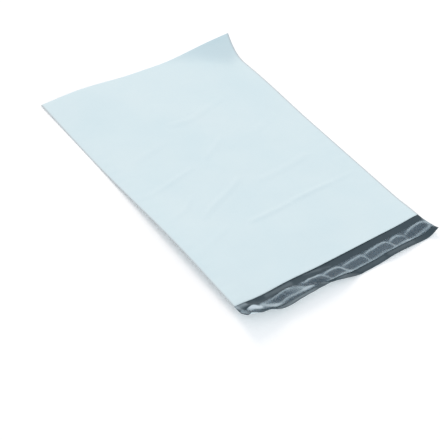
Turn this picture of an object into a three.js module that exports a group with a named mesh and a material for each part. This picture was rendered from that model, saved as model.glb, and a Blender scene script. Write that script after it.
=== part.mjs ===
// A plastic mailing bag, lying empty and face up, with its sealing lip open.
//
// The bag is one web of film. It is folded at the bottom and welded along both sides, and its rear
// panel runs on past the mouth as the lip. A strip of adhesive and its peel-off liner lie on the lip.
//
// Millimetres, +Z up. A place on the web is (across, along). Across runs from the left side to the
// right side, with 0 in the middle. Along is 0 at the mouth and grows towards the bottom fold, and
// it is negative on the lip.

import * as THREE from 'three';
import { mergeGeometries, mergeVertices } from 'three/addons/utils/BufferGeometryUtils.js';

// The bag
const BAG_WIDTH = 305;
const POCKET_LENGTH = 405;
const LIP_LENGTH = 36;
const FILM = 0.06;
const SIDE_WELD = 3;
const BOTTOM_CREASE = 1.2;

// The adhesive and its liner, which lie across the lip
const PLAIN_STRIPE = 9;
const LINER_WIDTH = 18;
const LINER_FILM = 0.04;
const LINER_MARGIN = 2;
const ADHESIVE = 0.08;
const ADHESIVE_SEAT = 0.15;
const LINER_SEAT = 0.2;

// The liner stands off the adhesive in raised puckers, one along each edge and one between cells,
// which are given from the right side
const PUCKER_HEIGHT = 0.7;
const PUCKER_REACH = 2;
const END_CELL_MARGIN = 4.5;
const CELL_LENGTHS = [35, 33, 40, 43, 26, 32, 37, 24];

// The air between the panels
const AIR = 2.6;
const MOUTH_AIR = 0.5;
const MOUTH_SLOPE = 60;
const SIDE_TAPER = 4;
const CREASE_TAPER = 8;

// The lip curls up, each value in degrees, evenly spaced from the left side to the right side
const LIP_TURNS = [
  77, 60, 55, 39, 35, 38, 40, 41, 42, 38, 28, 16, 4, 3, 3, 5, 11, 12, 10, 7, 3, 5, 30,
];

// The right corner of the bottom fold is bent up, past a line from the fold to the right side
const CORNER_ACROSS = 117.5;
const CORNER_ALONG = 52.7;
const CORNER_RADIUS = 30;
const CORNER_TURN = 76;

// Both panels rise off the ground together in low waves: one at each side, one at the bottom fold,
// and three at the mouth
const WAVES = [
  { across: -152.5, along: 88, height: 8.8, reachAcross: 60, reachAlong: 210 },
  { across: 152.5, along: 312, height: 2.3, reachAcross: 60, reachAlong: 105 },
  { across: -93, along: 405, height: 4.5, reachAcross: 88, reachAlong: 90 },
  { across: -74, along: 0, height: 2.7, reachAcross: 60, reachAlong: 45 },
  { across: -152.5, along: 0, height: 1.6, reachAcross: 32, reachAlong: 45 },
  { across: 152.5, along: 0, height: 2.2, reachAcross: 48, reachAlong: 45 },
];

// Soft folds in the front panel, left by packing
const SOFT_FOLDS = [
  { from: [-42, 90], to: [134, 97], reach: 13, height: 1.1 },
  { from: [120, 187], to: [28, 167], reach: 13, height: 0.9 },
  { from: [-119, 192], to: [-8, 180], reach: 14, height: 0.8 },
  { from: [-137, 117], to: [-54, 141], reach: 14, height: 1.0 },
  { from: [-134, 260], to: [7, 185], reach: 24, height: 0.6 },
];

// Spacing of the mesh
const COLUMN_STEP = 13.6;
const ROW_STEP = 24;
const CORNER_ROWS = 8;
const PLAIN_ROWS = 3;
const SLOPE_STEP = 0.25;
const SAME_VERTEX = 1e-4;
const SAME_COLUMN = 0.01;

const HALF_WIDTH = BAG_WIDTH / 2;
const INNER_HALF_WIDTH = HALF_WIDTH - SIDE_WELD;
const INNER_LENGTH = POCKET_LENGTH - BOTTOM_CREASE;

// A smooth bump, 1 at 0, and exactly 0 from 1 outwards
const bell = (x) => (Math.abs(x) < 1 ? Math.cos((Math.PI * x) / 2) ** 2 : 0);

// Values from first to last, both kept, in even steps of about the given size
function evenly(first, last, step) {
  const count = Math.max(1, Math.round(Math.abs(last - first) / step));
  return Array.from({ length: count + 1 }, (_, i) =>
    i === count ? last : first + ((last - first) * i) / count,
  );
}

// How far the lip has turned up at its outer edge, in radians
const turnCurve = new THREE.SplineCurve(LIP_TURNS.map((degrees, i) => new THREE.Vector2(i, degrees)));

function lipTurn(across) {
  const share = THREE.MathUtils.clamp((across + HALF_WIDTH) / BAG_WIDTH, 0, 1);
  return THREE.MathUtils.degToRad(turnCurve.getPoint(share).y);
}

// The lip rolls up on a radius that gives it its turn over its length
function curlLip(point, across, along) {
  const radius = LIP_LENGTH / lipTurn(across);
  point.y = radius * Math.sin(along / radius);
  point.z += radius * (1 - Math.cos(along / radius));
}

// The corner bends up about a line across it, first round and then straight
const cornerOut = new THREE.Vector2(CORNER_ALONG, CORNER_ACROSS).normalize();
const cornerTurn = THREE.MathUtils.degToRad(CORNER_TURN);

function bendCorner(point) {
  const past =
    (point.x - (HALF_WIDTH - CORNER_ACROSS)) * cornerOut.x + (point.y - POCKET_LENGTH) * cornerOut.y;
  if (past <= 0) return;
  const turn = Math.min(past / CORNER_RADIUS, cornerTurn);
  const straight = past - turn * CORNER_RADIUS;
  const travel = CORNER_RADIUS * Math.sin(turn) + straight * Math.cos(turn);
  point.x += cornerOut.x * (travel - past);
  point.y += cornerOut.y * (travel - past);
  point.z += CORNER_RADIUS * (1 - Math.cos(turn)) + straight * Math.sin(turn);
}

// How far the whole bag is off the ground
function lift(across, along) {
  return WAVES.reduce((sum, wave) => {
    const sideways = bell((across - wave.across) / wave.reachAcross);
    return sum + wave.height * sideways * bell((along - wave.along) / wave.reachAlong);
  }, 0);
}

// The underside of the web, as it lies
function underside(across, along) {
  const point = new THREE.Vector3(across, along, 0);
  if (along < 0) curlLip(point, across, along);
  bendCorner(point);
  point.z += lift(across, along);
  return point;
}

// A point at a height above the underside, square to it
function above(across, along, height) {
  const alongAcross = underside(across + SLOPE_STEP, along).sub(underside(across - SLOPE_STEP, along));
  const alongWeb = underside(across, along + SLOPE_STEP).sub(underside(across, along - SLOPE_STEP));
  const square = alongAcross.cross(alongWeb).normalize();
  return underside(across, along).addScaledVector(square, height);
}

// How far a soft fold lifts the front panel
function foldHeight(fold, across, along) {
  const from = new THREE.Vector3(...fold.from, 0);
  const to = new THREE.Vector3(...fold.to, 0);
  const place = new THREE.Vector3(across, along, 0);
  const nearest = new THREE.Line3(from, to).closestPointToPoint(place, true, new THREE.Vector3());
  return fold.height * bell(nearest.distanceTo(place) / fold.reach);
}

// How far the front panel stands off the rear one: 0 in the welds and at the crease
function airGap(across, along) {
  const inside = Math.max(0, 1 - (across / INNER_HALF_WIDTH) ** SIDE_TAPER);
  const beforeCrease = Math.max(0, 1 - (along / INNER_LENGTH) ** CREASE_TAPER);
  const pastMouth = 1 - bell(Math.min(1, along / MOUTH_SLOPE));
  const folds = SOFT_FOLDS.reduce((sum, fold) => sum + foldHeight(fold, across, along), 0);
  return (MOUTH_AIR + (AIR - MOUTH_AIR) * pastMouth + folds) * inside * beforeCrease;
}

// The four faces of the two panels, from the ground up
const rearOuter = (across, along) => above(across, along, 0);
const rearInner = (across, along) => above(across, along, FILM);
const frontInner = (across, along) => above(across, along, FILM + airGap(across, along));
const frontOuter = (across, along) => above(across, along, 2 * FILM + airGap(across, along));

// Where the two panels join, at a side or round the bottom fold, which bulges by one film
const joint = (across, along) => above(across, along === POCKET_LENGTH ? along + FILM : along, FILM);

// A grid of faces. Its front looks along (the way the steps run) x (the way back up the rows).
function skin(rows, steps, place) {
  const geometry = new THREE.PlaneGeometry(1, 1, steps.length - 1, rows.length - 1);
  const position = geometry.getAttribute('position');
  rows.forEach((row, i) =>
    steps.forEach((step, j) => position.setXYZ(i * steps.length + j, ...place(row, step).toArray())),
  );
  return geometry;
}

// The same faces with their fronts the other way, so that the two sides of a film share each facet
function turned(geometry) {
  const corners = geometry.index.array;
  for (let i = 0; i < corners.length; i += 3) {
    [corners[i], corners[i + 1]] = [corners[i + 1], corners[i]];
  }
  return geometry;
}

// A band of faces between two edges that share their steps
const band = (steps, first, second) => skin([first, second], steps, (edge, step) => edge(step));

// Skins that meet edge to edge become one closed surface
function closed(skins) {
  const merged = mergeGeometries(skins);
  merged.deleteAttribute('normal');
  merged.deleteAttribute('uv');
  const solid = mergeVertices(merged, SAME_VERTEX);
  solid.computeVertexNormals();
  return solid;
}

// Rows of the lip, which the adhesive and the liner share, from the mouth outwards
const linerInnerEdge = -PLAIN_STRIPE;
const linerOuterEdge = -PLAIN_STRIPE - LINER_WIDTH;
const adhesiveInnerEdge = linerInnerEdge - LINER_MARGIN;
const adhesiveOuterEdge = linerOuterEdge + LINER_MARGIN;
const adhesiveRows = [
  adhesiveInnerEdge,
  adhesiveInnerEdge - PUCKER_REACH,
  (adhesiveInnerEdge + adhesiveOuterEdge) / 2,
  adhesiveOuterEdge + PUCKER_REACH,
  adhesiveOuterEdge,
];
const linerRows = [linerInnerEdge, ...adhesiveRows, linerOuterEdge];
const plainRows = evenly(0, linerInnerEdge, PLAIN_STRIPE / PLAIN_ROWS).slice(0, -1);
const lipRows = [...plainRows, ...linerRows, -LIP_LENGTH];

// Rows of the pocket, from the mouth to the crease and then the fold
const pocketRows = evenly(0, POCKET_LENGTH - CORNER_ALONG, ROW_STEP).concat(
  evenly(POCKET_LENGTH - CORNER_ALONG, INNER_LENGTH, CORNER_ALONG / CORNER_ROWS).slice(1),
);
const pocketRowsBack = [...pocketRows].reverse();
const panelRowsBack = [POCKET_LENGTH, ...pocketRowsBack];
const webRowsBack = [...panelRowsBack, ...lipRows.slice(1)];

const innerColumns = evenly(-INNER_HALF_WIDTH, INNER_HALF_WIDTH, COLUMN_STEP);
const columns = [-HALF_WIDTH, ...innerColumns, HALF_WIDTH];

// One film web: outer faces, the faces inside the pocket, and the cut and folded edges
function filmBag() {
  const on = (face) => (along, across) => face(across, along);
  const webRows = [...webRowsBack].reverse();
  const panelRows = [...panelRowsBack].reverse();
  const at = (face, along) => (across) => face(across, along);
  const left = (face) => (along) => face(-HALF_WIDTH, along);
  const right = (face) => (along) => face(HALF_WIDTH, along);
  return closed([
    turned(skin(webRowsBack, columns, on(rearOuter))),
    skin(lipRows, columns, on(rearInner)),
    skin(pocketRowsBack, innerColumns, on(rearInner)),
    turned(skin(pocketRowsBack, innerColumns, on(frontInner))),
    skin(panelRowsBack, columns, on(frontOuter)),
    band(webRows, left(rearOuter), left(joint)),
    band(webRowsBack, right(rearOuter), right(joint)),
    band(panelRows, left(joint), left(frontOuter)),
    band(panelRowsBack, right(joint), right(frontOuter)),
    band(columns, at(joint, -LIP_LENGTH), at(rearOuter, -LIP_LENGTH)),
    band(columns, at(frontOuter, 0), at(frontInner, 0)),
    band(columns, at(rearOuter, POCKET_LENGTH), at(joint, POCKET_LENGTH)),
    band(columns, at(joint, POCKET_LENGTH), at(frontOuter, POCKET_LENGTH)),
  ]);
}

// A thin strip across the lip, between two heights above the underside
function strip(rows, steps, low, high) {
  const on = (height) => (along, across) => onFacets(across, along, height(across, along));
  const at = (height, along) => (across) => on(height)(along, across);
  const side = (height, across) => (along) => on(height)(along, across);
  const [first, last] = [rows[0], rows[rows.length - 1]];
  const [leftEnd, rightEnd] = [steps[0], steps[steps.length - 1]];
  const outwards = [...rows].reverse();
  return closed([
    skin(rows, steps, on(high)),
    turned(skin(rows, steps, on(low))),
    band(steps, at(low, first), at(high, first)),
    band(steps, at(high, last), at(low, last)),
    band(outwards, side(low, leftEnd), side(high, leftEnd)),
    band(rows, side(low, rightEnd), side(high, rightEnd)),
  ]);
}

// A point above the film's own facets, which are straight from one column to the next
function onFacets(across, along, height) {
  const next = columns.findIndex((column, i) => i > 0 && column >= across);
  const [start, end] = [columns[next - 1], columns[next]];
  const share = (across - start) / (end - start);
  return above(start, along, height).lerp(above(end, along, height), share);
}

// The puckers that end the cells, from the right side, one cell on from the last
const cellLines = CELL_LENGTHS.reduce(
  (lines, length) => [...lines, lines[lines.length - 1] - length],
  [HALF_WIDTH - END_CELL_MARGIN],
);

// How far the liner stands off the adhesive: along its edges, and between its cells
function pucker(across, along) {
  const peak = (distance) => Math.max(0, 1 - Math.abs(distance) / PUCKER_REACH);
  const edges = Math.max(peak(along - adhesiveInnerEdge), peak(along - adhesiveOuterEdge));
  const between = Math.max(...cellLines.map((line) => peak(across - line)));
  const overAdhesive = along < linerInnerEdge && along > linerOuterEdge ? 1 : 0;
  return PUCKER_HEIGHT * overAdhesive * Math.max(edges, between);
}

const adhesiveLow = FILM + ADHESIVE_SEAT;
const linerLow = adhesiveLow + ADHESIVE + LINER_SEAT;

function glueStrip() {
  return strip(adhesiveRows, columns, () => adhesiveLow, () => adhesiveLow + ADHESIVE);
}

function releaseLiner() {
  const puckerColumns = cellLines.flatMap((line) => [line - PUCKER_REACH, line, line + PUCKER_REACH]);
  const steps = [...columns, ...puckerColumns]
    .filter((across) => Math.abs(across) <= HALF_WIDTH)
    .sort((a, b) => a - b)
    .filter((across, i, all) => i === 0 || across - all[i - 1] > SAME_COLUMN);
  const low = (across, along) => linerLow + pucker(across, along);
  const high = (across, along) => low(across, along) + LINER_FILM;
  return strip(linerRows, steps, low, high);
}

const whiteFilm = new THREE.MeshStandardMaterial({ color: 0xdcebf0, roughness: 0.45, metalness: 0 });
const adhesive = new THREE.MeshStandardMaterial({ color: 0x5c666c, roughness: 0.35, metalness: 0 });
const clearLiner = new THREE.MeshStandardMaterial({ color: 0x8b989f, roughness: 0.25, metalness: 0 });

function named(name, geometry, material) {
  const mesh = new THREE.Mesh(geometry, material);
  mesh.name = name;
  return mesh;
}

const bag = new THREE.Group();
bag.add(named('film_bag', filmBag(), whiteFilm));
bag.add(named('glue_strip', glueStrip(), adhesive));
bag.add(named('release_liner', releaseLiner(), clearLiner));

// The origin is the middle of the ground under the whole bag
const bounds = new THREE.Box3().setFromObject(bag);
const middle = bounds.getCenter(new THREE.Vector3());
bag.position.set(-middle.x, -middle.y, -bounds.min.z);

export default bag;
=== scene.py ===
"""An empty plastic courier bag lying face up, with its sealing lip open, dressed for rendering.

The bag is one web of film, white outside and dark inside. It is folded at the bottom and welded
along both sides, and its rear panel runs on past the mouth as the lip. A strip of adhesive lies
on the lip, under a clear peel-off liner that stands off it in puckers.

Shapes are worked out in millimetres on the flat web, as (across, along). Across is 0 in the
middle and grows to the right. Along is 0 at the mouth, grows towards the bottom fold, and is
negative on the lip. Meshes are in metres.
"""

import logging
import math
from collections.abc import Callable, Iterable, Sequence
from dataclasses import dataclass
from enum import Enum

import bpy
import numpy as np
from mathutils import Matrix, Vector


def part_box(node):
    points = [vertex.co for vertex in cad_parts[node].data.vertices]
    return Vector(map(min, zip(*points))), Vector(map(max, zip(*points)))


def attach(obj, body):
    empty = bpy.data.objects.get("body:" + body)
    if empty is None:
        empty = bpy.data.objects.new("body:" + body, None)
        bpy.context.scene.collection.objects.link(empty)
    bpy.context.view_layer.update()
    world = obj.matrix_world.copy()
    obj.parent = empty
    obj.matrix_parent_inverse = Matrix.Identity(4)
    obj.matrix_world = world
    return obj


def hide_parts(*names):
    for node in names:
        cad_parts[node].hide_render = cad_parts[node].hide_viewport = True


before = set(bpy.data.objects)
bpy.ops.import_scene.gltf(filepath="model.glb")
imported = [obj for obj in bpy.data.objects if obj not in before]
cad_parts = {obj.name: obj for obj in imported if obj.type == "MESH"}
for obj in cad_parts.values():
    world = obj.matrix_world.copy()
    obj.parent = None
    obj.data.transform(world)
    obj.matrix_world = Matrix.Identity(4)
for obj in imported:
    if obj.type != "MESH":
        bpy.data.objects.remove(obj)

Array = np.ndarray

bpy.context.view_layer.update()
MM = 0.001
WHITE = (1.0, 1.0, 1.0, 1.0)
WEB_MAP = "web"

log = logging.getLogger("courier_bag")


def bell(x: Array) -> Array:
    """A smooth bump, which is 1 at 0 and falls to exactly 0 at -1 and 1."""
    return np.where(np.abs(x) < 1, np.cos(np.pi * np.clip(x, -1, 1) / 2) ** 2, 0.0)


def fade(x: Array) -> Array:
    """A smooth step, which is 0 up to 0 and 1 from 1 onwards."""
    share = np.clip(x, 0, 1)
    return share * share * (3 - 2 * share)


def linear(red: int, green: int, blue: int) -> tuple[float, float, float, float]:
    """A screen colour, with channels from 0 to 255, as a shader's linear one with an alpha of 1."""
    shares = (channel / 255 for channel in (red, green, blue))
    return (*(c / 12.92 if c <= 0.04045 else ((c + 0.055) / 1.055) ** 2.4 for c in shares), 1.0)


def spline(before: Array, here: Array, there: Array, after: Array, share: Array) -> Array:
    """One stretch of a smooth curve through evenly spaced values.

    Args:
        before: The value before the stretch.
        here: The value at its start.
        there: The value at its end.
        after: The value after it.
        share: Places along the stretch, from 0 to 1.

    Returns:
        The curve's values at those places.
    """
    enter, leave = (there - before) / 2, (after - here) / 2
    cubic = 2 * here - 2 * there + enter + leave
    square = -3 * here + 3 * there - 2 * enter - leave
    return ((cubic * share + square) * share + enter) * share + here


def beside(start: Sequence[float], end: Sequence[float], across: Array, along: Array) -> tuple[Array, Array]:
    """Where places lie beside a straight line on the web.

    Args:
        start: The line's start, as across and along.
        end: Its end.
        across: Places across the web.
        along: Places along it.

    Returns:
        How far along the line each place's nearest point is, as a share, and how far off it is.
    """
    run = np.subtract(end, start)
    away = (across - start[0], along - start[1])
    share = np.clip((away[0] * run[0] + away[1] * run[1]) / (run @ run), 0, 1)
    return share, np.hypot(away[0] - share * run[0], away[1] - share * run[1])


def together(shares: Iterable[Array]) -> Array:
    """Shares laid over each other, each of which covers its part of what the others leave."""
    return 1 - math.prod(1 - share for share in shares)


def evenly(start: float, end: float, step: float) -> Array:
    """Even places from a start to an end, with both of them, about a step apart."""
    return np.linspace(start, end, round((end - start) / step) + 1)


def fill(node: bpy.types.Node, values: dict[str | int, float | Sequence[float]]) -> None:
    """Sets some of a node's inputs, given by name or number."""
    for name, value in values.items():
        node.inputs[name].default_value = value


def wire(tree: bpy.types.NodeTree, *joins: tuple[bpy.types.Node, str, bpy.types.Node, str | int]) -> None:
    """Links the nodes of a tree.

    Args:
        tree: The tree.
        joins: For each link, a node, its output, the next node and its input.
    """
    for giver, output, taker, place in joins:
        tree.links.new(giver.outputs[output], taker.inputs[place])


class Panel(Enum):
    """The stretches of the web, in the order in which one walks along it from the lip."""

    REAR = "rear"
    FOLD = "fold"
    FRONT = "front"


class Side(Enum):
    """The material slots of the film."""

    OUTSIDE = 0
    INSIDE = 1


@dataclass(frozen=True)
class WebRow:
    """One row of the web: its panel, its place along the bag and, in the fold, its turn."""

    panel: Panel
    along: float
    turn: float = 0.0


@dataclass(frozen=True)
class Wave:
    """A low round wave, which lifts the whole web."""

    across: float
    along: float
    height: float
    reach_across: float
    reach_along: float

    def rise(self, across: Array, along: Array) -> Array:
        """How far the wave lifts each place, in millimetres."""
        sideways = bell((across - self.across) / self.reach_across)
        return self.height * sideways * bell((along - self.along) / self.reach_along)


@dataclass(frozen=True)
class SoftFold:
    """A soft straight fold, from one place to another."""

    start: tuple[float, float]
    end: tuple[float, float]
    reach: float
    height: float

    def rise(self, across: Array, along: Array) -> Array:
        """How far the fold lifts each place, in millimetres, or less than 0 in a hollow."""
        _, distance = beside(self.start, self.end, across, along)
        return self.height * bell(distance / self.reach)


@dataclass(frozen=True)
class CurvedLine:
    """A line on the web, on a smooth curve through places given as across, along and strength."""

    places: tuple[tuple[float, float, float], ...]
    reach: float
    steps: int = 5

    def path(self) -> Array:
        """Fills in the curve between the given places.

        Returns:
            Rows of across, along and strength, from the line's start to its end.
        """
        given = np.array(self.places, float)
        given = np.vstack([2 * given[0] - given[1], given, 2 * given[-1] - given[-2]])
        share = np.linspace(0, 1, self.steps, endpoint=False)[:, None]
        stretches = zip(given, given[1:], given[2:], given[3:])
        return np.vstack([*(spline(*around, share) for around in stretches), given[-2]])

    def nearest(self, across: Array, along: Array) -> tuple[Array, Array]:
        """How far each place is from the line, and the strength of the line there.

        Args:
            across: Places across the web.
            along: Places along it.

        Returns:
            Distances in millimetres, and strengths.
        """
        across, along = np.broadcast_arrays(across, along)
        path = self.path()
        distance, strength = np.full(across.shape, np.inf), np.zeros(across.shape)
        for start, end in zip(path, path[1:]):
            share, apart = beside(start[:2], end[:2], across, along)
            strength = np.where(apart < distance, start[2] + share * (end[2] - start[2]), strength)
            distance = np.minimum(distance, apart)
        return distance, strength


@dataclass(frozen=True)
class Crease(CurvedLine):
    """A soft crease in the front panel, whose strengths are heights in millimetres."""

    def rise(self, across: Array, along: Array) -> Array:
        """How far the crease lifts each place, in millimetres."""
        distance, height = self.nearest(across, along)
        return height * bell(distance / self.reach)


@dataclass(frozen=True)
class Ripple:
    """Fine uneven relief, the sum of plane waves of about one length in seeded directions."""

    length: float
    height: float
    seed: int
    count: int = 14
    shortest: float = 0.6
    longest: float = 1.6

    def at(self, across: Array, along: Array) -> Array:
        """The relief at each place.

        Args:
            across: Places across the web.
            along: Places along it.

        Returns:
            Heights in millimetres, about zero on average.
        """
        chance = np.random.default_rng(self.seed)
        total = np.zeros(np.broadcast(across, along).shape)
        for _ in range(self.count):
            heading, phase = chance.uniform(0, 2 * math.pi, 2)
            turns = 2 * math.pi / (self.length * chance.uniform(self.shortest, self.longest))
            step = across * math.cos(heading) + along * math.sin(heading)
            total += np.sin(turns * step + phase)
        return self.height * total / math.sqrt(self.count / 2)


@dataclass(frozen=True)
class BentCorner:
    """The right corner of the bottom fold, bent up past a line across it."""

    across: float = 117.5
    along: float = 52.7
    radius: float = 30.0
    turn: float = 76.0

    def bend(self, x: Array, y: Array, half: float, length: float) -> tuple[Array, ...]:
        """Bends flat places up past the line, first round and then straight.

        Args:
            x: Flat places across the bag.
            y: Flat places along it.
            half: Half of the bag's width.
            length: The pocket's length.

        Returns:
            The bent x and y, and the height that the bend gives.
        """
        size = math.hypot(self.across, self.along)
        out = (self.along / size, self.across / size)
        past = np.maximum((x - half + self.across) * out[0] + (y - length) * out[1], 0)
        turn = np.minimum(past / self.radius, math.radians(self.turn))
        straight = past - turn * self.radius
        travel = self.radius * np.sin(turn) + straight * np.cos(turn) - past
        height = self.radius * (1 - np.cos(turn)) + straight * np.sin(turn)
        return x + out[0] * travel, y + out[1] * travel, height


@dataclass(frozen=True)
class LyingWeb:
    """The web of film as it lies: its cut sizes, and how it bends, waves and crumples."""

    width: float = 305.0
    pocket: float = 405.0
    lip: float = 36.0
    film: float = 0.06
    weld: float = 3.0
    air: float = 2.6
    mouth_air: float = 0.5
    mouth_slope: float = 60.0
    fold_air: float = 0.5
    side_taper: int = 4
    fold_taper: int = 8
    slope_step: float = 0.25
    lip_turns: tuple[float, ...] = (
        *(77, 60, 55, 39, 35, 38, 40, 41, 42, 38, 28, 16),
        *(4, 3, 3, 5, 11, 12, 10, 7, 3, 5, 30),
    )
    corner: BentCorner = BentCorner()
    waves: tuple[Wave, ...] = (
        Wave(-152.5, 88, 8.8, 60, 210),
        Wave(152.5, 312, 2.3, 60, 105),
        Wave(-93, 405, 4.5, 88, 90),
        Wave(-74, 0, 2.7, 60, 45),
        Wave(-152.5, 0, 1.6, 32, 45),
        Wave(152.5, 0, 2.2, 48, 45),
    )
    lip_bumps: tuple[Wave, ...] = (
        Wave(-84, -12, 2.4, 20, 10),
        Wave(-25, -27, -1.4, 16, 8.5),
        Wave(-134, -11, 1.6, 11, 9),
    )
    lip_folds: tuple[SoftFold, ...] = tuple(SoftFold(*row) for row in (
        ((-53, -12), (-33, -25), 3.6, -0.95),
        ((-47, -11), (-33, -20), 3.4, 0.55),
        ((-73, -9), (-54, -24), 4.2, 0.55),
        ((-103, -26), (-62, -25.5), 4.0, -0.55),
        ((5, -27), (18, -35), 2.8, -0.65),
        ((-3, -30), (10, -35), 4.0, 0.35),
        ((-18, -29.5), (0, -28.5), 3.2, -0.35),
        ((-139, -4), (-126, -18), 6.0, 0.90),
        ((-146, -6), (-140, -15), 3.0, -1.8),
        ((-151, -2), (-147, -15), 3.6, 0.9),
        ((-152, -12), (-146, -22), 3.4, -0.80),
        ((-122, -4), (-104, -6), 4.0, -0.40),
        ((-122, -11.5), (-92, -8.5), 3.6, 0.45),
        ((-120, -14), (-104, -24), 4.0, 0.45),
        ((-46, -1), (-22, -6), 3.0, 0.22),
        ((-30, -1), (-6, -8), 2.8, 0.18),
        ((-48, -26), (-44, -35), 3.4, -0.40),
        ((-38, -25), (-34, -35), 3.0, 0.30),
        ((-56, -25), (-52, -35), 3.0, 0.25),
        ((-128, -19), (-118, -33), 4.0, -0.50),
        ((-135, -18), (-127, -33), 4.0, 0.50),
    ))
    lip_grain: Ripple = Ripple(16, 0.05, 23)
    folds: tuple[Crease, ...] = tuple(Crease(*row) for row in (
        (((-50, 97.5, 0), (-40, 98, 1.05), (-10, 98, 1.19), (16, 98.5, 0.98), (21, 99, 0.4),
          (28, 99.5, 1.19), (60, 100.5, 1.31), (90, 100.5, 1.05), (96, 100.5, 0.47),
          (104, 101, 0.93), (136, 102.5, 0.67), (150, 103, 0.26)), 5.5),
        (((-152, 193, 0.41), (-136, 194, 0.81), (-120, 195.5, 1.01), (-100, 200, 1.06),
          (-78, 204, 0.87), (-58, 208, 0.68), (-46, 211, 0)), 5.5),
        (((-30, 214, 0), (-18, 219, 0.68), (0, 228, 0.81), (14, 236, 0.68), (24, 240, 0)), 7),
        (((8, 149, 0), (20, 150, 0.6), (60, 152, 0.81), (96, 156, 0.73), (116, 159, 0)), 8),
        (((-98, 129, 0), (-86, 135, 0.81), (-62, 145, 1.22), (-36, 154, 1.06), (-14, 164, 0.68),
          (-4, 169, 0)), 6.5),
        (((-138, 144, 0), (-128, 147, 0.81), (-106, 154, 0.93), (-90, 164, 0.81), (-82, 170, 0)), 6),
        (((-34, 290, 0), (-20, 289, 0.68), (8, 287, 0.68), (36, 294, 0.73), (62, 300, 0.6),
          (76, 304, 0)), 7.5),
        (((-150, 302, 0.41), (-136, 318, 0.81), (-122, 334, 0.68), (-114, 342, 0)), 6.5),
        (((-136, 87, 0), (-122, 90, 0.54), (-84, 103, 0.54), (-72, 107, 0)), 7.5),
        (((-128, 366, 0), (-112, 372, 0.6), (-72, 386, 0.6), (-58, 391, 0)), 7),
        (((-116, 250, 0), (-100, 256, 0.54), (-70, 262, 0.6), (-48, 270, 0)), 8),
        (((52, 226, 0), (70, 228, 0.48), (104, 238, 0.48), (118, 244, 0)), 8),
    ))
    swell: Ripple = Ripple(95, 0.35, 3)
    dimples: Ripple = Ripple(30, 0.07, 11)
    crumple_start: float = 3.0
    weld_pucker: float = 0.35
    weld_pucker_length: float = 17.0
    weld_pucker_reach: float = 26.0
    weld_pucker_start: float = 6.0
    weld_pucker_sway: float = 2.2
    weld_pucker_sway_length: float = 31.0

    @property
    def half(self) -> float:
        """Half of the bag's width."""
        return self.width / 2

    @property
    def inner_half(self) -> float:
        """Half of the pocket's width, between the welds."""
        return self.half - self.weld

    def lip_turn(self, across: Array) -> Array:
        """How far the lip has turned up at its outer edge.

        Args:
            across: Places across the web.

        Returns:
            Turns in radians, on a smooth curve through the lip's turns.
        """
        values = np.array(self.lip_turns, float)
        last = len(values) - 1
        place = np.clip((across + self.half) / self.width, 0, 1) * last
        i = np.minimum(np.floor(place).astype(int), last - 1)
        around = (values[np.clip(i + step, 0, last)] for step in (-1, 0, 1, 2))
        return np.radians(spline(*around, place - i))

    def smooth_underside(self, across: Array, along: Array) -> Array:
        """The underside of the web without its crumples.

        Args:
            across: Places across the web.
            along: Places along it.

        Returns:
            Points in millimetres, with x, y and z last.
        """
        across, along = np.broadcast_arrays(np.asarray(across, float), np.asarray(along, float))
        radius = self.lip / self.lip_turn(across)
        on_lip = along < 0
        y = np.where(on_lip, radius * np.sin(along / radius), along)
        z = np.where(on_lip, radius * (1 - np.cos(along / radius)), 0.0)
        x, y, bend = self.corner.bend(across, y, self.half, self.pocket)
        lift = sum(wave.rise(across, along) for wave in self.waves)
        return np.stack([x, y, z + bend + lift], axis=-1)

    def crumple(self, across: Array, along: Array) -> Array:
        """How far the lip's crumples stand off its smooth shape.

        Args:
            across: Places across the web.
            along: Places along it.

        Returns:
            Heights in millimetres, and 0 past the mouth.
        """
        across, along = np.broadcast_arrays(np.asarray(across, float), np.asarray(along, float))
        total = sum(bump.rise(across, along) for bump in (*self.lip_bumps, *self.lip_folds))
        return (total + self.lip_grain.at(across, along)) * fade(-along / self.crumple_start)

    def square_to(self, surface: Callable[[Array, Array], Array], across: Array, along: Array) -> Array:
        """The upward direction square to a surface of the web.

        Args:
            surface: A method that gives the surface's points.
            across: Places across the web.
            along: Places along it.

        Returns:
            Unit vectors.
        """
        step = self.slope_step
        sideways = surface(across + step, along) - surface(across - step, along)
        onwards = surface(across, along + step) - surface(across, along - step)
        square = np.cross(sideways, onwards)
        return square / np.linalg.norm(square, axis=-1, keepdims=True)

    def underside(self, across: Array, along: Array) -> Array:
        """The underside of the web, crumples and all.

        Args:
            across: Places across the web.
            along: Places along it.

        Returns:
            Points in millimetres, with x, y and z last.
        """
        off = self.crumple(across, along)[..., None]
        square = self.square_to(self.smooth_underside, across, along)
        return self.smooth_underside(across, along) + square * off

    def above(self, across: Array, along: Array, height: Array | float) -> Array:
        """Points at a height above the underside, square to it.

        Args:
            across: Places across the web.
            along: Places along it.
            height: Heights in millimetres.

        Returns:
            Points in millimetres, with x, y and z last.
        """
        across, along, height = np.broadcast_arrays(across, along, height)
        square = self.square_to(self.underside, across, along)
        return self.underside(across, along) + square * height[..., None]

    def inside(self, across: Array) -> Array:
        """How open the pocket is across its width: 0 in the welds and 1 in the middle."""
        return np.maximum(0, 1 - (across / self.inner_half) ** self.side_taper)

    def pucker(self, across: Array, along: Array) -> Array:
        """The small puckers that run in from the welds.

        Args:
            across: Places across the web.
            along: Places along it.

        Returns:
            Heights in millimetres.
        """
        depth = self.inner_half - np.abs(across)
        sway = self.weld_pucker_sway * np.sin(along / self.weld_pucker_sway_length + np.sign(across))
        swing = 2 * math.pi * along / self.weld_pucker_length + sway
        reach = bell(np.maximum(depth, 0) / self.weld_pucker_reach)
        start = fade(depth / self.weld_pucker_start)
        return self.weld_pucker * reach * (0.5 + 0.5 * np.sin(swing)) * start

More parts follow.
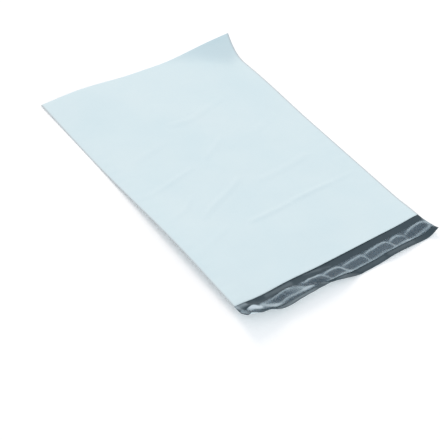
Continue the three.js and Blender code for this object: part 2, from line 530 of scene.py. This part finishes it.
    def air_gap(self, across: Array, along: Array) -> Array:
        """How far the front panel stands off the rear one.

        Args:
            across: Places across the web.
            along: Places along it.

        Returns:
            Gaps in millimetres: 0 in the welds, and the fold's own loop at the bottom.
        """
        before_fold = np.maximum(0, 1 - (along / self.pocket) ** self.fold_taper)
        past_mouth = 1 - bell(np.minimum(1, along / self.mouth_slope))
        relief = sum(fold.rise(across, along) for fold in self.folds)
        relief = relief + (self.swell.at(across, along) + self.dimples.at(across, along)) * past_mouth
        body = self.mouth_air + (self.air - self.mouth_air) * past_mouth + relief
        gap = self.inside(across) * (self.fold_air + before_fold * body)
        return np.maximum(gap, 0) + self.pucker(across, along) * before_fold

    def face(self, row: WebRow, across: Array) -> Array:
        """One row of the web's white face.

        Args:
            row: The row.
            across: Places across the web.

        Returns:
            Points in millimetres.
        """
        if row.panel is Panel.REAR:
            return self.above(across, row.along, 0.0)
        if row.panel is Panel.FRONT:
            return self.above(across, row.along, 2 * self.film + self.air_gap(across, row.along))
        radius = self.film + self.air_gap(across, self.pocket) / 2
        turn = math.radians(row.turn)
        return self.above(across, self.pocket + radius * math.cos(turn), radius * (1 + math.sin(turn)))


@dataclass(frozen=True)
class Crest(CurvedLine):
    """A line along which the liner has come off the adhesive, with its strengths from 0 to 1."""

    def lift(self, across: Array, along: Array, wing: float, share: float) -> Array:
        """How far each place has come off along this line.

        Args:
            across: Places across the web.
            along: Places along it.
            wing: Half the width of the gentle slopes beside the line.
            share: The height of those slopes, as a share of the line's.

        Returns:
            Shares from 0 to 1.
        """
        distance, strength = self.nearest(across, along)
        profile = np.exp(-((distance / self.reach) ** 2)) + share * np.exp(-((distance / wing) ** 2))
        return np.clip(strength * profile, 0, 1)


@dataclass(frozen=True)
class PaintedHighlightPatch(SoftFold):
    """A patch of painted highlight on a film, whose height is how much paler the film is painted, from 0 to
    1.
    """


@dataclass(frozen=True)
class LinerPuckers:
    """The puckers of the peel-off liner: the crests round its cells, and its patches of painted highlight.
    """

    height: float = 0.45
    wing: float = 3.2
    wing_share: float = 0.2
    crest_haze: float = 0.55
    crests: tuple[Crest, ...] = tuple(Crest(*row) for row in (
        (((112, -17.3, 0.4), (116, -15, 0.6), (121, -13.6, 0.81), (129, -12.1, 0.9),
          (137, -11.4, 0.95), (144, -12, 0.95), (148.4, -14.2, 0.85), (150.2, -18, 0.75),
          (149.6, -22, 0.65), (147, -24.8, 0.6)), 1.59),
        (((85.5, -15.6, 0.5), (89, -14.2, 0.8), (94, -13.1, 0.9), (99, -12.8, 0.9),
          (103.5, -13.7, 0.85), (107, -16, 0.7), (109.3, -20, 0.35), (108.5, -25.5, 0.3)), 1.71),
        (((41, -15.3, 0.5), (46, -13.9, 0.75), (53, -13.1, 0.85), (60, -12.8, 0.95), (66, -12.2, 0.95),
          (72, -12, 0.95), (77, -12.5, 0.95), (81, -14.2, 0.81), (83.8, -18, 0.75), (85.2, -22, 0.7),
          (86, -26.6, 0.7)), 1.71),
        (((4, -15.9, 0.4), (8, -14.9, 0.65), (14, -14.3, 0.76), (20, -13.9, 0.81), (28, -13.4, 0.85),
          (34, -13.3, 0.9), (37.5, -14.2, 0.85), (40, -17, 0.75), (41.3, -21, 0.65),
          (42, -26.5, 0.6)), 1.71),
        (((-26, -14.6, 0.6), (-21, -13.2, 0.85), (-15, -12.5, 0.95), (-9, -12.4, 1.0), (-4, -13, 1.0),
          (0, -14.8, 0.95), (2.5, -19, 0.9), (5, -23.5, 0.9), (7.5, -26.9, 1.0)), 1.77),
        (((-58, -11.4, 0.6), (-50, -11, 0.9), (-42, -11.3, 0.95), (-35, -11.7, 0.95), (-31, -12.3, 0.9),
          (-27.5, -14.8, 0.75), (-25.5, -19.8, 0.68), (-23.5, -24.6, 0.62), (-22, -27, 0.6)), 1.83),
        (((-80, -10.6, 0.35), (-75, -11.8, 0.35), (-70, -13.8, 0.4), (-65, -17, 0.55),
          (-61, -21, 0.8), (-55, -24, 0.85)), 2.20),
        (((-124, -13.8, 0.5), (-117, -13, 0.55), (-110, -12.3, 0.55), (-104, -11.7, 0.6),
          (-98, -11.2, 0.65), (-91, -10.7, 0.75), (-85, -10.5, 0.75), (-80, -10.6, 0.6)), 1.95),
        (((-92, -11.5, 0.2), (-89, -15, 0.3), (-87, -20.5, 0.3)), 1.22),
        (((-122, -13.5, 0.5), (-119, -17, 0.55), (-114, -21.3, 0.6), (-107, -24.2, 0.6),
          (-102, -24.6, 0.6)), 2.40),
        (((148, -25, 0.6), (143, -24.7, 0.65), (137, -24.6, 0.7), (131, -25.3, 0.7), (126, -26.1, 0.7),
          (119, -26.7, 0.7), (112, -26.9, 0.85), (107, -26.5, 0.95), (102, -25.8, 0.85),
          (96, -26, 0.8), (90, -26.7, 0.75), (85, -27, 0.8), (79, -27, 0.7), (74, -26.6, 0.65),
          (69, -25.7, 0.6), (64, -25.4, 0.65), (58, -26, 0.65), (50, -26.6, 0.65), (42, -27, 0.7),
          (34, -26.8, 0.7), (26, -26.6, 0.75), (18, -26.8, 0.75), (12, -27, 0.8), (7, -27, 0.95),
          (2, -26.3, 0.8), (-4, -26, 0.8), (-11, -26.6, 0.75), (-17, -27, 0.7), (-24, -27.1, 0.6),
          (-31, -27.3, 0.4)), 2.07),
        (((-52, -24.6, 0.75), (-57, -23.9, 0.9), (-62, -23.1, 0.95), (-68, -22.9, 0.85),
          (-75, -22.5, 0.8), (-82, -21.9, 0.8), (-89, -21.8, 0.75), (-95, -22.7, 0.75),
          (-100, -23.9, 0.7), (-106, -24.7, 0.65), (-113, -24, 0.55)), 2.20),
    ))
    # Patches of painted highlight, brightest at the crumpled left end, where the glossy liner would catch
    # glints.
    patches: tuple[PaintedHighlightPatch, ...] = tuple(PaintedHighlightPatch(*row) for row in (
        ((9, -27), (6, -26.4), 4.0, 0.22),
        ((110, -26.5), (107, -26), 4.5, 0.22),
        ((-64, -22.4), (-56, -23.8), 4.5, 0.38),
        ((-80, -13), (-66, -18), 8.5, 0.27),
        ((-120, -17), (-108, -23), 7.5, 0.5),
        ((-138, -12), (-127, -17), 7.0, 0.95),
        ((-136, -11), (-131, -14), 6.0, 0.8),
        ((-151, -12), (-148, -18), 4.5, 0.5),
        ((151.5, -13), (152, -26), 4.0, 0.34),
        ((90, -20), (102, -20), 6.0, 0.07),
        ((48, -19.5), (78, -19.5), 6.0, 0.08),
        ((10, -20), (36, -20), 6.0, 0.07),
        ((-52, -11.5), (-34, -12), 3.0, 0.1),
        ((2, -18), (4, -22), 3.0, 0.12),
    ))

    def lift(self, across: Array, along: Array) -> Array:
        """How far each place has come off the adhesive, from 0, stuck down, to 1, on a crest."""
        return together(crest.lift(across, along, self.wing, self.wing_share) for crest in self.crests)

    def frost_and_painted_highlight(self, across: Array, along: Array) -> Array:
        """How pale each place of the liner is painted, from 0, clear, to 1, white: frost where it has come
        off on the crests, and painted highlight in the patches.
        """
        lifted = self.crest_haze * self.lift(across, along)
        return together([lifted, *(patch.rise(across, along) for patch in self.patches)])


@dataclass(frozen=True)
class FilmGrain:
    """The uneven gauge and fine streaks of blown film, as a group that every film uses."""

    name: str = "Film Grain"
    mottle_detail: float = 3.0
    mottle_distortion: float = 0.4
    streak_stretch: float = 0.035
    streak_detail: float = 2.0
    fine_scale: float = 900.0
    fine_detail: float = 2.0

    def group(self) -> bpy.types.NodeTree:
        """Builds the group.

        Returns:
            The group, which takes a place on the web in metres.
        """
        tree = bpy.data.node_groups.new(self.name, "ShaderNodeTree")
        tree.interface.new_socket(name="Web", in_out="INPUT", socket_type="NodeSocketVector")
        for name in ("Mottle Scale", "Streak Scale"):
            tree.interface.new_socket(name=name, in_out="INPUT", socket_type="NodeSocketFloat")
        for name in ("Mottle", "Streaks", "Height"):
            tree.interface.new_socket(name=name, in_out="OUTPUT", socket_type="NodeSocketFloat")
        nodes = tree.nodes
        taken, given = nodes.new("NodeGroupInput"), nodes.new("NodeGroupOutput")
        mottle, streaks, fine = (nodes.new("ShaderNodeTexNoise") for _ in range(3))
        fill(mottle, {"Detail": self.mottle_detail, "Distortion": self.mottle_distortion})
        fill(streaks, {"Detail": self.streak_detail})
        fill(fine, {"Detail": self.fine_detail, "Scale": self.fine_scale})
        stretch = nodes.new("ShaderNodeMapping")
        fill(stretch, {"Scale": (1.0, self.streak_stretch, 1.0)})
        height = nodes.new("ShaderNodeMath")
        height.operation = "ADD"
        wire(
            tree,
            (taken, "Web", mottle, "Vector"),
            (taken, "Mottle Scale", mottle, "Scale"),
            (taken, "Web", stretch, "Vector"),
            (stretch, "Vector", streaks, "Vector"),
            (taken, "Streak Scale", streaks, "Scale"),
            (taken, "Web", fine, "Vector"),
            (streaks, "Fac", height, 0),
            (fine, "Fac", height, 1),
            (mottle, "Fac", given, "Mottle"),
            (streaks, "Fac", given, "Streaks"),
            (height, "Value", given, "Height"),
        )
        return tree


@dataclass(frozen=True, kw_only=True)
class Finish:
    """What all films' finishes share: a name, and the scales and fine relief of the grain."""

    name: str
    mottle_scale: float = 14.0
    streak_scale: float = 260.0
    bump: float = 0.12
    bump_depth: float = 0.00004

    def start(
        self, grain: bpy.types.NodeTree
    ) -> tuple[bpy.types.Material, bpy.types.ShaderNode, bpy.types.ShaderNode]:
        """Starts a material, with the grain's fine relief.

        Args:
            grain: The shared film grain.

        Returns:
            The material, its shader and its grain node.
        """
        made = bpy.data.materials.new(self.name)
        made.use_nodes = True
        nodes = made.node_tree.nodes
        shader = nodes["Principled BSDF"]
        web = nodes.new("ShaderNodeUVMap")
        web.uv_map = WEB_MAP
        group = nodes.new("ShaderNodeGroup")
        group.node_tree = grain
        fill(group, {"Mottle Scale": self.mottle_scale, "Streak Scale": self.streak_scale})
        bump = nodes.new("ShaderNodeBump")
        fill(bump, {"Strength": self.bump, "Distance": self.bump_depth})
        wire(
            made.node_tree,
            (web, "UV", group, "Web"),
            (group, "Height", bump, "Height"),
            (bump, "Normal", shader, "Normal"),
        )
        return made, shader, group


@dataclass(frozen=True, kw_only=True)
class FilmFinish(Finish):
    """A satin polythene face, mottled by its uneven gauge, with another tone where a mask says: the weld
    band's own darker tone on the white face, and painted highlight on the dark face.
    """

    light: tuple[int, int, int]
    dark: tuple[int, int, int]
    mottle_range: tuple[float, float] = (0.3, 0.7)
    roughness: tuple[float, float]
    specular: float = 0.5
    weld_tone_and_painted_highlight: tuple[int, int, int] | None = None
    weld_tone_and_painted_highlight_mask: str = "weld_tone_and_painted_highlight"

    def material(self, grain: bpy.types.NodeTree) -> bpy.types.Material:
        """Builds the material.

        Args:
            grain: The shared film grain.

        Returns:
            The material.
        """
        made, shader, group = self.start(grain)
        tree, nodes = made.node_tree, made.node_tree.nodes
        fill(shader, {"Specular IOR Level": self.specular})
        colour = nodes.new("ShaderNodeValToRGB")
        for i, tone in enumerate((self.dark, self.light)):
            colour.color_ramp.elements[i].position = self.mottle_range[i]
            colour.color_ramp.elements[i].color = linear(*tone)
        rough = nodes.new("ShaderNodeMapRange")
        fill(rough, {"To Min": self.roughness[0], "To Max": self.roughness[1]})
        wire(
            tree,
            (group, "Streaks", rough, "Value"),
            (rough, "Result", shader, "Roughness"),
            (group, "Mottle", colour, "Fac"),
        )
        toned, output = colour, "Color"
        # The masked tone is the weld band's own darker tone on the white face, and painted highlight on the
        # dark face.
        if self.weld_tone_and_painted_highlight:
            mask = nodes.new("ShaderNodeAttribute")
            mask.attribute_name = self.weld_tone_and_painted_highlight_mask
            mixed = nodes.new("ShaderNodeMix")
            mixed.data_type = "RGBA"
            fill(mixed, {"B": linear(*self.weld_tone_and_painted_highlight)})
            wire(tree, (mask, "Fac", mixed, "Factor"), (colour, "Color", mixed, "A"))
            toned, output = mixed, "Result"
        wire(tree, (toned, output, shader, "Base Color"))
        return made


@dataclass(frozen=True, kw_only=True)
class LinerFinish(Finish):
    """A clear peel-off film, which turns frosty where it has come off the adhesive, and is painted paler
    still in patches of painted highlight.
    """

    name: str = "clear liner film"
    mottle_scale: float = 60.0
    bump: float = 0.02
    bump_depth: float = 0.00002
    roughness: float = 0.2
    stuck: tuple[int, int, int] = (126, 148, 164)
    lifted: tuple[int, int, int] = (174, 193, 202)
    # The palest tone and its alpha are reached mostly in the patches of painted highlight.
    frost_and_painted_highlight_tone: tuple[int, int, int] = (216, 230, 238)
    lifted_haze: float = 0.5
    stuck_alpha: float = 0.1
    frost_and_painted_highlight_alpha: float = 0.92
    frost_and_painted_highlight_mask: str = "frost_and_painted_highlight"

    def material(self, grain: bpy.types.NodeTree) -> bpy.types.Material:
        """Builds the material.

        Args:
            grain: The shared film grain.

        Returns:
            The material.
        """
        made, shader, _ = self.start(grain)
        nodes = made.node_tree.nodes
        fill(shader, {"Roughness": self.roughness})
        # The mask is frost on the crests, and painted highlight in the patches.
        frost_and_painted_highlight = nodes.new("ShaderNodeAttribute")
        frost_and_painted_highlight.attribute_name = self.frost_and_painted_highlight_mask
        colour = nodes.new("ShaderNodeValToRGB")
        colour.color_ramp.elements[0].color = linear(*self.stuck)
        colour.color_ramp.elements[1].color = linear(*self.frost_and_painted_highlight_tone)
        colour.color_ramp.elements.new(self.lifted_haze).color = linear(*self.lifted)
        alpha = nodes.new("ShaderNodeMapRange")
        fill(alpha, {"To Min": self.stuck_alpha, "To Max": self.frost_and_painted_highlight_alpha})
        wire(
            made.node_tree,
            (frost_and_painted_highlight, "Fac", colour, "Fac"),
            (colour, "Color", shader, "Base Color"),
            (frost_and_painted_highlight, "Fac", alpha, "Value"),
            (alpha, "Result", shader, "Alpha"),
        )
        return made


@dataclass
class Sheet:
    """A piece made from one flat grid, which is laid out row by row and given a wall."""

    web: LyingWeb
    offset: Vector
    name: str = "sheet"

    def grid(self, columns: Array, rows: int) -> tuple[bpy.types.Object, Array, Array]:
        """Adds a flat grid with one vertex for each column and row.

        Args:
            columns: Places across the web.
            rows: How many rows the grid has.

        Returns:
            The grid, and each vertex's column and row.
        """
        bpy.ops.object.select_all(action="DESELECT")
        bpy.ops.mesh.primitive_grid_add(
            x_subdivisions=len(columns) - 1, y_subdivisions=rows - 1, size=1, calc_uvs=True
        )
        piece = bpy.context.object
        piece.name = piece.data.name = self.name
        flat = np.empty(len(piece.data.vertices) * 3)
        piece.data.vertices.foreach_get("co", flat)
        flat = flat.reshape(-1, 3)
        column = np.rint((flat[:, 0] + 0.5) * (len(columns) - 1)).astype(int)
        row = np.rint((flat[:, 1] + 0.5) * (rows - 1)).astype(int)
        return piece, column, row

    def lay(self, piece: bpy.types.Object, points: Array) -> None:
        """Moves the vertices to where they lie.

        Args:
            piece: The grid.
            points: Each vertex's place, in millimetres on the web.
        """
        placed = points * MM + np.array(self.offset)
        piece.data.vertices.foreach_set("co", placed.ravel())
        piece.data.update()

    def map_web(self, piece: bpy.types.Object, across: Array, walked: Array) -> None:
        """Writes each corner's place on the flat web, in metres, as the UV map that finishes read.

        Args:
            piece: The grid.
            across: Each vertex's place across the web.
            walked: Each vertex's distance along the web, from the lip's outer edge.
        """
        layer = piece.data.uv_layers[0]
        layer.name = WEB_MAP
        corners = np.empty(len(piece.data.loops), int)
        piece.data.loops.foreach_get("vertex_index", corners)
        places = np.stack([across[corners], walked[corners]], axis=1) * MM
        layer.data.foreach_set("uv", places.ravel())

    def mask(self, piece: bpy.types.Object, name: str, values: Array) -> None:
        """Writes one value for each vertex, as an attribute that a finish reads."""
        piece.data.attributes.new(name, "FLOAT", "POINT").data.foreach_set("value", values)

    def wall(self, piece: bpy.types.Object, thickness: float, inner: int = 0) -> None:
        """Gives the sheet its thickness, on the side away from its face.

        Args:
            piece: The sheet.
            thickness: In millimetres.
            inner: How many material slots on the inner face's one is.
        """
        solid = piece.modifiers.new("wall", "SOLIDIFY")
        solid.thickness = thickness * MM
        solid.offset = -1.0
        solid.use_even_offset = True
        solid.material_offset = inner
        bpy.context.view_layer.objects.active = piece
        piece.select_set(True)
        bpy.ops.object.modifier_apply(modifier=solid.name)
        bpy.ops.object.shade_smooth()

    def turn_faces(self, piece: bpy.types.Object) -> None:
        """Turns every face of a piece to look the other way.

        Args:
            piece: The piece.
        """
        bpy.context.view_layer.objects.active = piece
        bpy.ops.object.mode_set(mode="EDIT")
        bpy.ops.mesh.select_all(action="SELECT")
        bpy.ops.mesh.flip_normals()
        bpy.ops.object.mode_set(mode="OBJECT")


@dataclass
class FilmBag(Sheet):
    """The bag itself: one web of film, folded at the bottom, with the lip at one end."""

    name: str = "bag_film"
    columns: int = 168
    lip_step: float = 1.2
    crease_step: float = 2.0
    crease_end: float = 310.0
    front_step: float = 3.5
    rear_step: float = 9.0
    bend_start: float = 345.0
    fold_turns: tuple[float, ...] = (-90, -54, -18, 18, 54, 90)
    outside: FilmFinish = FilmFinish(
        name="white film face", light=(221, 237, 241), dark=(217, 235, 240), roughness=(0.38, 0.48),
        weld_tone_and_painted_highlight=(200, 207, 210), weld_tone_and_painted_highlight_mask="weld",
    )
    # On the dark face, the paler masked tone is painted highlight.
    inside: FilmFinish = FilmFinish(
        name="dark film face", light=(46, 66, 76), dark=(36, 56, 66), roughness=(0.26, 0.36),
        mottle_scale=30.0, bump=0.2, specular=0.4, weld_tone_and_painted_highlight=(176, 192, 200),
    )
    # Patches of painted highlight and painted reflection on the dark inner film: its curled margin and outer
    # edge, its crumpled left end, and stretches by the mouth.
    painted_highlights: tuple[PaintedHighlightPatch, ...] = tuple(PaintedHighlightPatch(*row) for row in (
        ((-106, -3), (-70, -3.5), 5.0, 0.15),
        ((-152, -2), (-139, -3), 5.0, 0.45),
        ((-110, -31.5), (-56, -31.5), 5.5, 0.18),
        ((-100, -33.5), (-72, -30), 1.6, 0.12),
        ((-88, -31), (-58, -33.5), 1.6, 0.12),
        ((70, -30.5), (112, -30.5), 5.0, 0.09),
        ((20, -31), (60, -31), 5.0, 0.05),
        ((-18, -30), (-2, -29), 3.5, 0.13),
        ((-12, -34), (8, -33.5), 3.5, 0.06),
        ((-152, -1), (-147, -9), 4.5, 0.5),
        ((-40, -27), (-35, -33), 3.0, 0.22),
        ((152, -10), (152, -28), 3.5, 0.2),
        ((-46, -1), (-22, -5), 2.6, 0.1),
        ((-34, -1), (-8, -7), 2.6, 0.08),
    ))

    def across(self) -> Array:
        """Places the grid's columns.

        Returns:
            Places across the web: two in each weld, and even ones between.
        """
        inner = np.linspace(-self.web.inner_half, self.web.inner_half, self.columns)
        edge = self.web.half - np.array([0.0, self.web.weld / 2])
        return np.concatenate([-edge, inner, edge[::-1]])

    def rows(self) -> list[WebRow]:
        """Places the grid's rows.

        Returns:
            The rows, from the lip's outer edge round the fold to the front panel's mouth.
        """
        web = self.web
        lip = evenly(-web.lip, 0, self.lip_step)
        flat = evenly(0, self.bend_start, self.rear_step)
        bend = evenly(self.bend_start, web.pocket, self.front_step)
        creased = evenly(0, self.crease_end, self.crease_step)
        front = (*creased, *evenly(self.crease_end, web.pocket, self.front_step)[1:])
        rear = [WebRow(Panel.REAR, a) for a in (*lip, *flat[1:], *bend[1:-1])]
        fold = [WebRow(Panel.FOLD, web.pocket, turn) for turn in self.fold_turns]
        return rear + fold + [WebRow(Panel.FRONT, a) for a in front[-2::-1]]

    def mark(self, piece: bpy.types.Object, across: Array, along: Array) -> None:
        """Writes where the dark film is painted paler, as painted highlight, and where the white film is
        welded.

        Args:
            piece: The grid.
            across: Each vertex's place across the web.
            along: Each vertex's distance along it, walked from the mouth.
        """
        # Painted highlight on the dark film. The weld band's darker tone is the film's own.
        pale = together(patch.rise(across, along) for patch in self.painted_highlights)
        weld = fade((np.abs(across) - self.web.inner_half) / self.web.weld) * (along > 0)
        self.mask(piece, self.inside.weld_tone_and_painted_highlight_mask, pale)
        self.mask(piece, self.outside.weld_tone_and_painted_highlight_mask, weld)

    def build(self, grain: bpy.types.NodeTree) -> bpy.types.Object:
        """Builds and dresses the bag.

        Args:
            grain: The shared film grain.

        Returns:
            The finished piece.
        """
        columns, rows = self.across(), self.rows()
        piece, column, row = self.grid(columns, len(rows))
        laid = np.stack([self.web.face(r, columns) for r in rows])
        self.lay(piece, laid[row, column])
        steps = np.linalg.norm(np.diff(laid[:, len(columns) // 2], axis=0), axis=1)
        walked = np.concatenate([[0.0], np.cumsum(steps)])
        self.map_web(piece, columns[column], walked[row])
        self.mark(piece, columns[column], walked[row] - self.web.lip)
        self.turn_faces(piece)
        for finish in (self.outside, self.inside):
            piece.data.materials.append(finish.material(grain))
        self.wall(piece, self.web.film, Side.INSIDE.value - Side.OUTSIDE.value)
        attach(piece, "root")
        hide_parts("film_bag")
        return piece


@dataclass
class LipStrip(Sheet):
    """A strip laid across the lip, between two places along it."""

    inner_edge: float = -11.0
    outer_edge: float = -25.0
    step_across: float = 2.2
    step_along: float = 1.25
    low: float = 0.21
    thickness: float = 0.08

    def height(self, across: Array, along: Array) -> Array:
        """The strip's top face above the underside of the web, in millimetres."""
        return np.full(np.broadcast(across, along).shape, self.low + self.thickness)

    def shape(self) -> tuple[bpy.types.Object, Array, Array]:
        """Lays the strip out, as a sheet that has no wall yet.

        Returns:
            The piece, and its vertices' places across and along the web.
        """
        web = self.web
        columns = evenly(-web.half, web.half, self.step_across)
        rows = evenly(self.outer_edge, self.inner_edge, self.step_along)
        piece, column, row = self.grid(columns, len(rows))
        across, along = columns[column], rows[row]
        self.lay(piece, web.above(across, along, self.height(across, along)))
        self.map_web(piece, across, along + web.lip)
        return piece, across, along


@dataclass
class GlueStrip(LipStrip):
    """The adhesive on the lip."""

    name: str = "adhesive_strip"
    finish: FilmFinish = FilmFinish(
        name="lip adhesive", light=(54, 71, 82), dark=(42, 59, 69), roughness=(0.24, 0.32),
        mottle_scale=70.0, bump=0.04, specular=0.4,
    )

    def build(self, grain: bpy.types.NodeTree) -> bpy.types.Object:
        """Builds and dresses the adhesive.

        Args:
            grain: The shared film grain.

        Returns:
            The finished piece.
        """
        piece, _, _ = self.shape()
        piece.data.materials.append(self.finish.material(grain))
        self.wall(piece, self.thickness)
        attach(piece, "root")
        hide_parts("glue_strip")
        return piece


@dataclass
class ReleaseLiner(LipStrip):
    """The peel-off liner over the adhesive, with its puckers."""

    name: str = "peel_liner"
    inner_edge: float = -9.8
    outer_edge: float = -27.8
    step_across: float = 0.65
    step_along: float = 0.6
    low: float = 0.49
    thickness: float = 0.04
    puckers: LinerPuckers = LinerPuckers()
    finish: LinerFinish = LinerFinish()

    def height(self, across: Array, along: Array) -> Array:
        """The liner's top face above the underside of the web, in millimetres."""
        lift = self.puckers.lift(across, along)
        return self.low + self.thickness + self.puckers.height * lift

    def build(self, grain: bpy.types.NodeTree) -> bpy.types.Object:
        """Builds and dresses the liner.

        Args:
            grain: The shared film grain.

        Returns:
            The finished piece.
        """
        piece, across, along = self.shape()
        # The liner's paleness: frost on the crests, and painted highlight in the patches.
        self.mask(piece, self.finish.frost_and_painted_highlight_mask, self.puckers.frost_and_painted_highlight(across, along))
        piece.data.materials.append(self.finish.material(grain))
        self.wall(piece, self.thickness)
        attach(piece, "root")
        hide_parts("release_liner")
        return piece


@dataclass
class Studio:
    """The white floor and backdrop, the soft light and the camera."""

    floor_size: float = 12.0
    floor_drop: float = 0.0003
    floor_lift: float = 0.16
    floor_grey: float = 0.93
    sky: tuple[float, float, float] = (0.825, 0.855, 0.89)
    key_power: float = 110.0
    key_size: float = 3.0
    key_place: tuple[float, float, float] = (1.7, 5.2, 4.6)
    key_colour: tuple[float, float, float] = (1.0, 0.82, 0.68)
    sensor: float = 36.0
    clip: tuple[float, float] = (0.01, 100.0)
    lens_pixels: float = 1079.0
    frame_pixels: float = 440.0
    azimuth: float = -47.05
    elevation: float = 44.27
    roll: float = 12.33
    distance: float = 1.3117
    target: tuple[float, float] = (-75.6, 121.0)

    def plain_rays(self, tree: bpy.types.NodeTree) -> bpy.types.Node:
        """A share that is 1 for the rays that see the white background itself.

        Args:
            tree: The node tree of the material or world.

        Returns:
            The node whose value is the share.
        """
        path = tree.nodes.new("ShaderNodeLightPath")
        total, output = path, "Is Camera Ray"
        for name in ("Is Glossy Ray", "Is Transmission Ray"):
            either = tree.nodes.new("ShaderNodeMath")
            either.operation = "MAXIMUM"
            wire(tree, (total, output, either, 0), (path, name, either, 1))
            total, output = either, "Value"
        return total

    def world(self) -> None:
        """Makes a soft sky that lights the bag, and looks plain white."""
        world = bpy.data.worlds.new("studio")
        world.use_nodes = True
        bpy.context.scene.world = world
        tree, nodes = world.node_tree, world.node_tree.nodes
        sky = nodes["Background"]
        fill(sky, {"Color": (*self.sky, 1.0)})
        white = nodes.new("ShaderNodeBackground")
        fill(white, {"Color": WHITE})
        either = nodes.new("ShaderNodeMixShader")
        wire(
            tree,
            (self.plain_rays(tree), "Value", either, "Fac"),
            (sky, "Background", either, 1),
            (white, "Background", either, 2),
            (either, "Shader", nodes["World Output"], "Surface"),
        )

    def floor(self) -> None:
        """Makes the white floor, which keeps the bag's shadow."""
        bpy.ops.object.select_all(action="DESELECT")
        bpy.ops.mesh.primitive_plane_add(size=self.floor_size, location=(0, 0, -self.floor_drop))
        floor = bpy.context.object
        floor.name = "studio_floor"
        made = bpy.data.materials.new("studio floor")
        made.use_nodes = True
        tree, nodes = made.node_tree, made.node_tree.nodes
        shader = nodes["Principled BSDF"]
        grey = (*[self.floor_grey] * 3, 1.0)
        fill(shader, {"Base Color": grey, "Roughness": 1.0, "Specular IOR Level": 0.0})
        glow = nodes.new("ShaderNodeEmission")
        strength = nodes.new("ShaderNodeMath")
        strength.operation = "MULTIPLY"
        fill(strength, {1: self.floor_lift})
        both = nodes.new("ShaderNodeAddShader")
        wire(
            tree,
            (self.plain_rays(tree), "Value", strength, 0),
            (strength, "Value", glow, "Strength"),
            (shader, "BSDF", both, 0),
            (glow, "Emission", both, 1),
            (both, "Shader", nodes["Material Output"], "Surface"),
        )
        floor.data.materials.append(made)

    def lights(self) -> None:
        """Hangs one large soft light above and behind the bag."""
        key = bpy.data.lights.new("key", "AREA")
        key.shape = "SQUARE"
        key.size = self.key_size
        key.energy = self.key_power
        key.color = self.key_colour
        lamp = bpy.data.objects.new("key", key)
        lamp.location = self.key_place
        lamp.visible_glossy = False
        lamp.rotation_mode = "QUATERNION"
        lamp.rotation_quaternion = (-Vector(self.key_place)).to_track_quat("-Z", "Y")
        bpy.context.scene.collection.objects.link(lamp)

    def camera(self, offset: Vector) -> None:
        """Places the camera at the viewing angle.

        Args:
            offset: From the web's own origin to the frame's, in metres.
        """
        azimuth, elevation = math.radians(self.azimuth), math.radians(self.elevation)
        back = Vector((
            math.sin(azimuth) * math.cos(elevation),
            -math.cos(azimuth) * math.cos(elevation),
            math.sin(elevation),
        ))
        data = bpy.data.cameras.new("camera")
        data.sensor_width = self.sensor
        data.lens = self.sensor * self.lens_pixels / self.frame_pixels
        data.clip_start, data.clip_end = self.clip
        camera = bpy.data.objects.new("camera", data)
        bpy.context.scene.collection.objects.link(camera)
        target = Vector((*self.target, 0.0)) * MM + offset
        turn = (-back).to_track_quat("-Z", "Y").to_matrix().to_4x4()
        level = Matrix.Translation(target + back * self.distance) @ turn
        camera.matrix_world = level @ Matrix.Rotation(math.radians(self.roll), 4, "Z")
        bpy.context.scene.camera = camera

    def build(self, offset: Vector) -> None:
        """Sets the whole stage.

        Args:
            offset: From the web's own origin to the frame's, in metres.
        """
        bpy.context.scene.view_settings.view_transform = "Standard"
        self.world()
        self.floor()
        self.lights()
        self.camera(offset)


def web_offset(web: LyingWeb) -> Vector:
    """Where the web's origin lies in the frame, from the CAD bag's straight end of the bottom fold."""
    _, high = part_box("film_bag")
    return Vector((0.0, high[1] - (web.pocket + web.film) * MM, 0.0))


def triangles(piece: bpy.types.Object) -> int:
    """How many triangles a piece has."""
    return sum(len(face.vertices) - 2 for face in piece.data.polygons)


def main() -> None:
    """Builds the stage and every piece."""
    logging.basicConfig(level=logging.INFO, format="%(name)s: %(message)s")
    web = LyingWeb()
    offset = web_offset(web)
    Studio().build(offset)
    grain = FilmGrain().group()
    for maker in (FilmBag(web, offset), GlueStrip(web, offset), ReleaseLiner(web, offset)):
        piece = maker.build(grain)
        log.info("%s: %d triangles", piece.name, triangles(piece))


if __name__ == "__main__":
    main()
